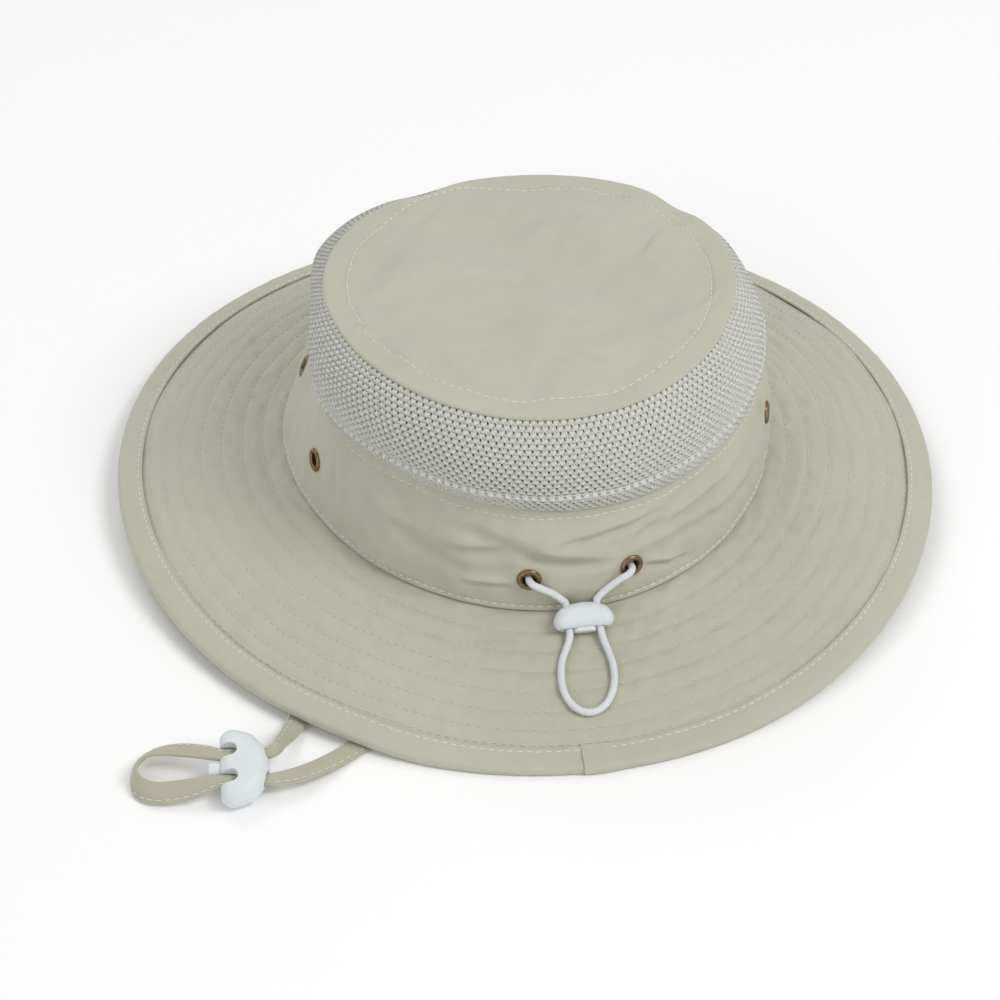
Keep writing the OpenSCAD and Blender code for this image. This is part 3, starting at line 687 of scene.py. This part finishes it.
STRAP_W, STRAP_T = 7.5, 1.6
STRAP_ROUTE = [  # x, y, z, roll, share of the width, share of the thickness
    (91, 0, 20.1, 0, 1, 1), (87, 0.6, 20.2, 0, 1, 1), (82, 3, 18.2, 0, 1, 1),
    (78.5, 8, 13, 0, 1, 1), (77.5, 15, 6.5, 0, 1, 1), (78.5, 24, 2, 0, 1, 1),
    (81, 40, 1, 0, 1, 1), (86, 62, 1, 0, 1, 1), (93, 88, 1, 0, 1, 1), (99, 106, 1.1, 0, 1, 1),
    (103.5, 117, 2, -8, 0.85, 1), (107, 124, 4.8, -40, 0.8, 1), (110, 129, 6.7, -60, 0.72, 1.1),
    (112.9, 133.6, 7.8, -45, 0.6, 1.4), (116.5, 135.2, 8.1, -11, 0.56, 1.5),
    (121.5, 134.7, 8.1, -11, 0.56, 1.5), (126, 134.2, 8.2, -11, 0.56, 1.5),
    (130.9, 133.9, 8.9, -8, 0.56, 1.4), (136.2, 131, 8.4, 4, 0.82, 1.1),
    (143, 127.4, 7.2, 10, 0.95, 1), (150, 125, 6, 24, 1, 1), (155.8, 125.6, 4.9, 45, 1, 1),
    (159.4, 129.6, 4.3, 66, 1, 1), (160.3, 134.4, 4.1, 68, 1, 1), (158.8, 138.8, 4, 56, 1, 1),
    (154, 142, 3.9, 43, 1, 1), (146, 143.4, 4.6, 36, 1, 1), (139, 144, 6, 28, 0.85, 1.1),
    (133, 144, 7, 13, 0.57, 1.4), (127.5, 144.4, 6.3, 11, 0.56, 1.5),
    (122.5, 144.9, 6.1, 11, 0.56, 1.5), (117.6, 145.4, 6.1, 11, 0.56, 1.5),
    (112.5, 145.2, 5.4, 5, 0.75, 1.3), (105.5, 143, 3.9, 0, 0.95, 1.1),
    (95, 137.6, 1.9, 0, 1, 1), (85, 131.4, 1, 0, 1, 1), (68, 121, 1, 0, 1, 1),
    (45, 105, 1, 0, 1, 1), (18, 84, 1, 0, 1, 1), (-10, 61, 1, 0, 1, 1), (-36, 39, 1, 0, 1, 1),
    (-56, 23, 1.4, 0, 1, 1), (-67, 14.5, 4, 0, 1, 1), (-74, 9, 9, 0, 1, 1),
    (-79.5, 4, 15.5, 0, 1, 1), (-83.5, 1, 19, 0, 1, 1), (-87.5, 0.2, 20.2, 0, 1, 1),
    (-91, 0, 20.1, 0, 1, 1),
]
STRAP_SIDES, STRAP_PITCH = 28, 3.1
STRAP_ROW = -0.64  # the row of stitches, as a share of the half width


def strap_sections(route):
    """Rings of a folded and stitched cloth tube: full at its fold, flat at its stitched edge."""
    line = route[:, :3]
    _, level, up = frames_along(line)
    roll = np.radians(route[:, 3])[:, None]
    wide = level * np.cos(roll) + up * np.sin(roll)
    thick = np.cross(np.gradient(line, axis=0), wide)
    thick /= np.linalg.norm(thick, axis=1, keepdims=True)
    along = np.concatenate([[0], np.cumsum(np.linalg.norm(np.diff(line, axis=0), axis=1))])
    angle = 2 * np.pi * (np.arange(STRAP_SIDES) + 0.5) / STRAP_SIDES
    across = np.sign(np.cos(angle)) * np.abs(np.cos(angle)) ** 0.8
    deep = np.sign(np.sin(angle)) * np.abs(np.sin(angle)) ** 0.55
    pinch = 1 - 0.45 * bell(across - STRAP_ROW, 0.16) - 0.2 * smooth(-across, 0.5, 1.0)
    ripple = np.sin(2 * np.pi * along / STRAP_PITCH)[:, None]
    puckers = 1 + 0.10 * ripple * bell(across - STRAP_ROW, 0.35)[None, :]
    crumple = 0.10 * bumps(line, 17, 41)[:, None] * across[None, :]
    half_w = (STRAP_W / 2 * route[:, 4])[:, None]
    half_t = (STRAP_T / 2 * route[:, 5])[:, None]
    rings = (line[:, None] + wide[:, None] * (half_w * across)[..., None]
             + thick[:, None] * (half_t * deep * pinch * puckers + crumple)[..., None])
    uv_round = np.arange(STRAP_SIDES + 1) / STRAP_SIDES * 2 * (STRAP_W + STRAP_T)
    uv = np.stack(np.broadcast_arrays(uv_round[None, :], along[:, None]), -1)
    rows = [line + wide * half_w * STRAP_ROW + side * thick * half_t * 0.62 for side in (1, -1)]
    return rings, uv, rows, thick


strap_route = catmull(STRAP_ROUTE, 12)
strap_rings, strap_uv, strap_rows, strap_thick = strap_sections(strap_route)
strap_bends = ("chin_lock", (0.096, 0.128, 0), (0.1056, 0.1408, 0))
strap = finish_piece(sections_object("chin_strap_tube", strap_rings, strap_uv), strap_cloth,
                     strap_bends, stands_for=["chin_strap"])

# ---- stitches ----

STITCH_SIDES, STITCH_RINGS = 6, 7


def stitch_template():
    """One stitch lying along X: thin at its ends, where it dives into the cloth."""
    t = np.linspace(0, 1, STITCH_RINGS)
    swell = np.sin(np.pi * t) ** 0.5
    swell[0] = swell[-1] = 0.15
    angle = 2 * np.pi * np.arange(STITCH_SIDES) / STITCH_SIDES
    rise = np.sin(np.pi * t) ** 0.7 - 0.55
    points = [[(t[i] - 0.5), swell[i] * np.cos(b), swell[i] * np.sin(b), rise[i]]
              for i in range(STITCH_RINGS) for b in angle]
    faces = []
    for i in range(STITCH_RINGS - 1):
        for k in range(STITCH_SIDES):
            after = (k + 1) % STITCH_SIDES
            faces.append([i * STITCH_SIDES + k, i * STITCH_SIDES + after,
                          (i + 1) * STITCH_SIDES + after, (i + 1) * STITCH_SIDES + k])
    faces.append(list(range(STITCH_SIDES))[::-1])
    faces.append([(STITCH_RINGS - 1) * STITCH_SIDES + k for k in range(STITCH_SIDES)])
    return np.array(points), faces


TEMPLATE, TEMPLATE_FACES = stitch_template()


def row_of_stitches(line, normal, pitch=STITCH_PITCH, length=2.5, width=0.52, height=0.34,
                    closed=True):
    """Points of a row of stitches along a line, with the cloth's normal at each of its points."""
    if closed:
        line, normal = np.vstack([line, line[:1]]), np.vstack([normal, normal[:1]])
    along = np.concatenate([[0], np.cumsum(np.linalg.norm(np.diff(line, axis=0), axis=1))])
    count = max(2, int(round(along[-1] / pitch)))
    centres = (np.arange(count) + 0.5) * along[-1] / count
    def at(d, values):
        return np.stack([np.interp(d, along, values[:, k]) for k in range(3)], -1)
    place, up = at(centres, line), at(centres, normal)
    ahead = at(np.minimum(centres + 1.0, along[-1]), line) - at(np.maximum(centres - 1.0, 0), line)
    ahead /= np.linalg.norm(ahead, axis=1, keepdims=True)
    up = up - (up * ahead).sum(1, keepdims=True) * ahead
    up /= np.linalg.norm(up, axis=1, keepdims=True)
    side = np.cross(up, ahead)
    x, y, z, rise = (TEMPLATE[None, :, k, None] for k in range(4))
    local = (x * length * ahead[:, None] + y * width / 2 * side[:, None]
             + (z * width / 2 + rise * height) * up[:, None])
    return place[:, None] + local


def stitches_object(name, rows, material, bends=None):
    points = np.concatenate([row.reshape(-1, len(TEMPLATE), 3) for row in rows])
    faces = [[k * len(TEMPLATE) + v for v in face]
             for k in range(len(points)) for face in TEMPLATE_FACES]
    return finish_piece(new_object(name, points.reshape(-1, 3), faces), material, bends)


# ---- crown top ----

N_TOP = 480
CROWN_T = 0.7
a_top = round_angles(N_TOP)
rings_in = np.concatenate([np.linspace(1, 0.80, 46)[:-1], np.linspace(0.80, 0.02, 96)])
A, R = np.meshgrid(a_top, rings_in, indexing="ij")
top_grid = top_surface(A, R)
ROLL = ((-1.6, -2.3), (0.1, -1.9), (0.75, -1.35), (0.9, -0.75), (0.7, -0.3))
roll_rings = []
for out, down in ROLL:
    ring = top_grid[:, 0] + oval(a_top, 1.0, 1.0, 0.0, 0.0) * out
    ring[:, 2] += down
    roll_rings.append(ring)
top_cloth_grid = np.concatenate([np.stack(roll_rings, 1), top_grid], 1)
n_top_cols = top_cloth_grid.shape[1]
top_xy = np.vstack([top_cloth_grid, top_cloth_grid[:1]])[..., :2]
crown_top = grid_object("crown_top_cloth", top_cloth_grid, top_xy)
# close the small hole in the middle of the polar grid
centre_ring = [i * n_top_cols + n_top_cols - 1 for i in range(N_TOP)]
work = bmesh.new()
work.from_mesh(crown_top.data)
work.verts.ensure_lookup_table()
work.faces.new([work.verts[i] for i in centre_ring]).smooth = True
work.to_mesh(crown_top.data)
work.free()
thicken(crown_top, CROWN_T)
finish_piece(crown_top, nylon, stands_for=["crown_top"])


def ring_normals(surface, a, t, step=0.5):
    """The surface's normals along the line t = constant (t may vary with a)."""
    along = surface(a + 0.2, t) - surface(a - 0.2, t)
    across = surface(a, t + step) - surface(a, t - step)
    n = np.cross(along, across)
    return n / np.linalg.norm(n, axis=-1, keepdims=True)


N_ROW = 1440
a_row = round_angles(N_ROW)
row_r = 1 - TOP_ROW_IN / (0.5 * (TOP_RX + TOP_RY))
top_row = top_surface(a_row, np.full(N_ROW, row_r))
up_normals = -ring_normals(top_surface, a_row, np.full(N_ROW, row_r), 0.01)
up_normals *= np.sign(up_normals[:, 2:3])
stitches_object("crown_top_stitches", [row_of_stitches(top_row, up_normals)], white_thread)

# ---- crown wall ----

N_WALL = 900
a_wall = round_angles(N_WALL)
share = np.concatenate([[-0.012], np.linspace(0, 0.15, 14)[:-1], np.linspace(0.15, 0.85, 44)[:-1],
                        np.linspace(0.85, 1.0, 14)])
A = np.repeat(a_wall[:, None], len(share), 1)
ABOVE = share[None, :] * wall_rise(A)
wall_grid = wall_surface(A, ABOVE)
mid_a = a_wall[:, None] + 180.0 / N_WALL
mid_above = (share[:-1] + share[1:])[None, :] / 2 * wall_rise(mid_a)
open_eyelets = np.zeros((N_WALL, len(share) - 1), bool)
for angles, height in ((VENT_ANGLES, VENT_H), (CORD_ANGLES, CORD_H)):
    for at in angles:
        centre = wall_point(np.array(at), np.array(height))
        points = wall_point(mid_a, mid_above)
        open_eyelets |= np.linalg.norm(points - centre, axis=-1) < EYELET_OPENING
crown_wall = grid_object("crown_wall_cloth", wall_grid, ring_uv(wall_grid, WALL_ROUND, share * 45),
                         keep=~open_eyelets)
thicken(crown_wall, CROWN_T)
finish_piece(crown_wall, nylon, stands_for=["crown_wall"])

wall_rows = [row_of_stitches(wall_surface(a_row, height), outwards(a_row))
             for height in (np.full(N_ROW, WALL_ROW_LOW), wall_rise(a_row) - WALL_ROW_DROP)]
stitches_object("crown_wall_stitches", wall_rows, white_thread)

# ---- brim ----

N_BRIM = 900
a_brim = round_angles(N_BRIM)
reach_u = np.concatenate([[-SEAM_IN, -2.0, -0.6], np.linspace(0, BRIM_W - 3.0, 130)])
A, U = np.meshgrid(a_brim, reach_u, indexing="ij")


def brim_cloth(name, drop, thickness, puff, material, node, faces_up=True):
    grid = brim_surface(A, U, drop, puff)
    piece = grid_object(name, grid, ring_uv(grid, BRIM_ROUND, reach_u), flip=faces_up)
    thicken(piece, thickness)
    return finish_piece(piece, material, stands_for=[node])


UNDER_PUFF = -0.45
brim_top = brim_cloth("brim_upper_cloth", 0.0, 0.55, 1.0, nylon, "brim_upper")
brim_core = brim_cloth("brim_interlining_sheet", CLOTH + 0.1, 0.6, 0.3, felt,
                       "brim_interlining")
brim_under = brim_cloth("brim_under_cloth", BRIM_T, 0.55, UNDER_PUFF, nylon,
                        "brim_under", faces_up=False)

upwards = np.tile([0.0, 0.0, 1.0], (N_ROW, 1))
brim_rows = [row_of_stitches(brim_surface(a_row, np.full(N_ROW, row)), upwards) for row in ROWS]
stitches_object("brim_stitches", brim_rows, pale_thread)
under_rows = [row_of_stitches(brim_surface(a_row, np.full(N_ROW, row), BRIM_T, UNDER_PUFF),
                              -upwards, height=0.24) for row in ROWS]
stitches_object("brim_under_stitches", under_rows, pale_thread)

# ---- binding ----

N_BIND = 1440
a_bind = round_angles(N_BIND)
BIND_ROW, TAPE_CLEAR = 1.5, 0.02
BIND_OUTLINE = (  # across from the inner edge, height above the brim's top face
    (0.0, -0.45), (-0.02, 0.2), (0.12, 0.46), (0.5, 0.55), (BIND_ROW - 0.6, 0.58),
    (BIND_ROW, 0.36), (BIND_ROW + 0.6, 0.58), (3.4, 0.62), (5.4, 0.62), (7.0, 0.6), (8.2, 0.5),
    (8.9, 0.15), (9.25, -0.45), (9.3, -1.3), (9.1, -2.15), (8.6, -2.75), (7.8, -2.95),
    (6.4, -3.0), (4.5, -3.0), (BIND_ROW + 0.5, -2.95), (BIND_ROW, -2.75), (BIND_ROW - 0.5, -2.95),
    (0.45, -2.95), (0.1, -2.7), (0.0, -2.3),
)
BIND_ROW_AT, BIND_LAP_TO = 5, 18  # places in that outline
ABOVE_RIM = -0.4


def binding_section(a):
    """The tape's outline at each angle: from its inner edge on top, round the rim, to below."""
    ease = 0.10 * bumps(brim_point(a, BRIM_W + 0 * a), 7, 51)
    rings = []
    for across, height in BIND_OUTLINE:
        point = brim_point(a, BRIM_W - BIND_W + across + 0 * a)
        point[..., 2] += height + ease * (height > ABOVE_RIM)
        rings.append(point)
    return np.stack(rings, 1)


bind_grid = binding_section(a_bind)
bind_grid[..., 2] = np.maximum(bind_grid[..., 2], TAPE_CLEAR)
bind_v = np.concatenate([[0], np.cumsum(np.linalg.norm(np.diff(bind_grid[0], axis=0), axis=1))])
binding = grid_object("brim_binding_tape", bind_grid, ring_uv(bind_grid, EDGE_ROUND, bind_v),
                      flip=True)
thicken(binding, 0.3)
finish_piece(binding, tape, stands_for=["brim_binding"])

LAP_TURN, LAP_OFF, LAP_T = 7.0, 0.75, 0.4


def binding_lap():
    """The tape's end, laid over its start: proud at the cut, level with the tape at its far end."""
    share = np.linspace(0, 1, 60)
    outline = binding_section(CUT_AT + LAP_TURN * share)[:, :BIND_LAP_TO]
    middle = outline.mean(axis=1, keepdims=True)
    middle[..., 2] = BRIM_T / 2 + BIND_T
    away = outline - middle
    away /= np.linalg.norm(away, axis=-1, keepdims=True)
    proud = (LAP_OFF * (1 - smooth(share, 0.25, 1.0)) - 0.1)[:, None, None]
    grid = outline + away * proud
    grid[..., 2] = np.maximum(grid[..., 2], TAPE_CLEAR)
    uv = np.stack(np.broadcast_arrays(share[:, None] * 20, bind_v[None, :BIND_LAP_TO]), -1)
    piece = thicken(grid_object("brim_binding_lap", grid, uv, closed=False, flip=True), LAP_T)
    return finish_piece(piece, tape)


lap = binding_lap()
bind_line = binding_section(a_row)[:, BIND_ROW_AT]
stitches_object("brim_binding_stitches", [row_of_stitches(bind_line, upwards, height=0.28)],
                white_thread)

# ---- mesh band ----

CELLS_ROUND, CELLS_UP, HEM_ROWS = 184, 20, 5
MESH_MM = 28  # the band's height
HEM_SHARE = HEM_H / MESH_MM


def mesh_profile(a, h, off=0.0):
    """The mesh's face with its folded hem below and its bulge above the hem."""
    p = mesh_point(a, h, 0.0)
    swell = 0.35 * bumps(p * [1, 1, 0.6], 26, 61)
    dent = dent_depth(a) * smooth(h, 0.35, 1.0)
    p[..., 2] -= dent
    tucked = 0.9 * smooth(h, 0.965, 0.995)
    out = swell * np.sin(np.pi * np.clip(h, 0, 1)) - 0.6 * dent - tucked + off
    return p + outwards(a, 0.0) * out[..., None]


HOLE_SHAPE = np.array([(0.0, 0.58), (0.16, 0.3), (0.2, 0.0), (0.15, -0.3), (0.0, -0.56),
                       (-0.15, -0.3), (-0.2, 0.0), (-0.16, 0.3)])
CELL_SHAPE = np.array([(0.0, 2 / 3), (0.5, 1 / 3), (0.5, 0.0), (0.5, -1 / 3), (0.0, -2 / 3),
                       (-0.5, -1 / 3), (-0.5, 0.0), (-0.5, 1 / 3)])
CELL_RINGS = (  # outline, mm that it stands out
    (HOLE_SHAPE, -0.5),
    (0.45 * HOLE_SHAPE + 0.55 * CELL_SHAPE, 0.2),
    (CELL_SHAPE, 0.0),
)
CORNERS = len(HOLE_SHAPE)


def net_object(name, h_low, h_high, rows, cells, off):
    """A knitted net of staggered eye-shaped holes between two heights."""
    points, uvs = [], []
    pitch, step = 360.0 / cells, (h_high - h_low) / rows
    i, j = np.meshgrid(np.arange(cells), np.arange(rows), indexing="ij")
    centre_a = (i + 0.5 * (j % 2)) * pitch
    centre_h = h_low + (j + 0.5) * step
    for ring, rise in CELL_RINGS:
        ca = centre_a[..., None] + ring[:, 0] * pitch
        ch = np.clip(centre_h[..., None] + ring[:, 1] * step, h_low, h_high)
        points.append(mesh_profile(ca, ch, off(ch) + rise))
        uvs.append(np.stack([ca * 1.45, ch * MESH_MM], -1))
    points, uv = np.stack(points, 2), np.stack(uvs, 2)
    base = (i * rows + j)[..., None] * len(CELL_RINGS) * CORNERS
    k = np.arange(CORNERS)
    k2 = (k + 1) % CORNERS
    quads = []
    for ring in (0, 1):
        inner, outer = base + ring * CORNERS, base + (ring + 1) * CORNERS
        quads.append(np.stack([inner + k, inner + k2, outer + k2, outer + k], -1))
    quads = np.concatenate(quads, 2).reshape(-1, 4)[:, ::-1]
    corner_uv = uv.reshape(-1, 2)[quads]
    made = new_object(name, points.reshape(-1, 3), quads.tolist(), corner_uv.reshape(-1, 2))
    work = bmesh.new()
    work.from_mesh(made.data)
    bmesh.ops.remove_doubles(work, verts=work.verts, dist=0.00004)
    bmesh.ops.dissolve_degenerate(work, edges=work.edges, dist=0.00001)
    work.to_mesh(made.data)
    work.free()
    made.data.shade_smooth()
    return made


def hem_off(h):
    """The hem stands out from the mesh and turns in to it at its top."""
    return 0.15 + 0.75 * (1 - smooth(h, 0.86 * HEM_SHARE, 1.02 * HEM_SHARE))


YARN_T = 0.5
net = thicken(net_object("mesh_band_net", 0.0, 1.0, CELLS_UP, CELLS_ROUND, lambda h: 0.0 * h),
              YARN_T)
finish_piece(net, yarn, stands_for=["mesh_band"])
hem = thicken(net_object("mesh_hem_net", 0.0, 1.02 * HEM_SHARE, HEM_ROWS, CELLS_ROUND, hem_off),
              YARN_T)
finish_piece(hem, yarn)
hem_line = mesh_profile(a_row, np.full(N_ROW, HEM_SHARE * 0.72), 1.0)
stitches_object("mesh_hem_stitches", [row_of_stitches(hem_line, outwards(a_row))], white_thread)

# ---- inside the hat ----

a_in = round_angles(360)


def band_object(name, node, ring_points, material, thickness=0.6):
    """A ring of cloth inside the hat, from a list of functions of the angle."""
    grid = np.stack([make(a_in) for make in ring_points], 1)
    across = np.concatenate([[0], np.cumsum(np.linalg.norm(np.diff(grid[0], axis=0), axis=1))])
    piece = grid_object(name, grid, ring_uv(grid, INSIDE_ROUND, across))
    thicken(piece, thickness)
    return finish_piece(piece, material, stands_for=[node])


def wall_ring(above, off):
    def make(a):
        p = wall_point(a, above + 0 * a, off)
        return p + 0.25 * (bumps(p, 14, 71) * oval(a, 1.0, 1.0, 0.0, 0.0).T).T
    return make


band_rings = [wall_ring(h, -SEAM_IN + 1.0) for h in np.linspace(16, 1.5, 12)]
band_rings += [wall_ring(0.7, -5.0), wall_ring(0.4, -1.6)]
sweatband = band_object("sweatband_tape", "sweatband", band_rings, cotton)

tape_rings = [lambda a, h=h: mesh_point(a, h + 0 * a, -MESH_T - 1.2)
              for h in np.linspace(0.97, 0.76, 6)]
seam_tape = band_object("crown_seam_tape_strip", "crown_seam_tape", tape_rings, tape,
                        0.5)

a_casing = np.linspace(110, 430, 321)
CASING_OUTLINE = ((13.4, -WALL_T - 0.3), (13.2, -2.6), (12.2, -4.6), (9.2, -5.2), (6.2, -4.6),
                  (5.3, -2.6), (5.1, -WALL_T - 0.3))
casing_grid = np.stack([wall_point(a_casing, h + 0 * a_casing, off)
                        for h, off in CASING_OUTLINE], 1)
casing_uv = np.stack(np.meshgrid(np.arange(len(a_casing)) * MM_PER_DEGREE,
                                 np.linspace(0, 14, len(CASING_OUTLINE)), indexing="ij"), -1)
casing = grid_object("cord_casing_tape", casing_grid, casing_uv, closed=False)
thicken(casing, 0.4)
finish_piece(casing, tape, stands_for=["cord_casing"])

first, last = CORD_ANGLES[1], 360 + CORD_ANGLES[0]
HIDDEN_LOW, HIDDEN_IN = 9.3, 3.1


def hidden_point(a, above, off):
    return wall_point(np.array(float(a)), np.array(float(above)), -off)


HIDDEN_ENDS = (  # degrees past the eyelet, height, depth behind the wall's face
    (0.0, CORD_H, 2.2), (0.8, CORD_H - 0.3, 3.2), (2.5, CORD_H - 1.2, 4),
    (5.5, HIDDEN_LOW + 1.2, 3.6),
)
hidden_run = ([hidden_point(first + turn, above, off) for turn, above, off in HIDDEN_ENDS]
              + [hidden_point(a, HIDDEN_LOW, HIDDEN_IN)
                 for a in np.arange(first + 9, last - 9, 6.2)]
              + [hidden_point(last - turn, above, off) for turn, above, off in HIDDEN_ENDS[::-1]])
hidden = braided_cord("drawcord_in_casing", catmull(hidden_run, 6), CORD_D - 0.2)
finish_piece(hidden, elastic, stands_for=["drawcord_hidden_run"])

# ---- strap stitches ----

strap_stitch_rows = [row_of_stitches(row, side * strap_thick, pitch=STRAP_PITCH, length=2.3,
                                     width=0.4, height=0.22, closed=False)
                     for row, side in zip(strap_rows, (1, -1))]
strap_stitches = stitches_object("chin_strap_stitches", strap_stitch_rows, white_thread,
                                 strap_bends)

# ---- CAD nodes that stay ----


def round_edges(piece):
    """Softens a moulded part's sharp edges, by modifiers that leave its mesh as it is."""
    remesh = piece.modifiers.new("skin", "REMESH")
    remesh.mode, remesh.voxel_size, remesh.use_smooth_shade = "VOXEL", 0.0002, True
    soften = piece.modifiers.new("soften", "SMOOTH")
    soften.factor, soften.iterations = 0.5, 30 if piece.name.startswith("chin") else 12


CAD_LOOKS = {
    "vent_eyelets": brass, "vent_washers": brass, "cord_eyelets": brass, "cord_washers": brass,
    "rear_lock_body": plastic, "rear_lock_plunger": plastic, "rear_lock_spring": wire,
    "chin_lock_body": plastic, "chin_lock_plunger": plastic, "chin_lock_spring": wire,
}
for node, material in CAD_LOOKS.items():
    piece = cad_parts[node]
    piece.data.materials.clear()
    piece.data.materials.append(material)
    if material == plastic:
        round_edges(piece)


def compress_spring(node, along):
    """Gives a lock's spring a mesh of its own."""
    along = Vector(along).normalized()
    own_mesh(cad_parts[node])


compress_spring("rear_lock_spring", (0.0444, 0.8468, -0.5299))
compress_spring("chin_lock_spring", (0.9945, -0.1045, 0.0))

# ---- floor, lights, world ----

floor_mesh = bpy.data.meshes.new("floor")
floor_mesh.from_pydata([(-6, -6, 0), (6, -6, 0), (6, 6, 0), (-6, 6, 0)], [], [[0, 1, 2, 3]])
floor = bpy.data.objects.new("floor", floor_mesh)
bpy.context.scene.collection.objects.link(floor)
floor_material, _, _, shader = node_tree("floor_paper")
shader.inputs["Base Color"].default_value = (0.99, 0.99, 0.99, 1)
shader.inputs["Roughness"].default_value = 0.9
floor.data.materials.append(floor_material)


def area_light(name, place, size, power, colour=(1, 1, 1)):
    data = bpy.data.lights.new(name, "AREA")
    data.shape, data.size, data.energy, data.color = "DISK", size, power, colour
    light = bpy.data.objects.new(name, data)
    light.location = place
    light.rotation_mode = "QUATERNION"
    light.rotation_quaternion = (Vector((0, 0, 0.05)) - Vector(place)).to_track_quat("-Z", "Y")
    bpy.context.scene.collection.objects.link(light)


area_light("key", (-0.9, 0.8, 1.5), 0.9, 14.4)
area_light("fill", (1.2, 1.0, 1.2), 1.6, 6)
area_light("back", (0.5, -1.3, 1.6), 1.2, 8)
world = bpy.data.worlds.new("studio")
world.use_nodes = True
world.node_tree.nodes["Background"].inputs["Color"].default_value = (1, 1, 1, 1)
world.node_tree.nodes["Background"].inputs["Strength"].default_value = 0.5
bpy.context.scene.world = world
bpy.context.scene.view_settings.view_transform = "Standard"
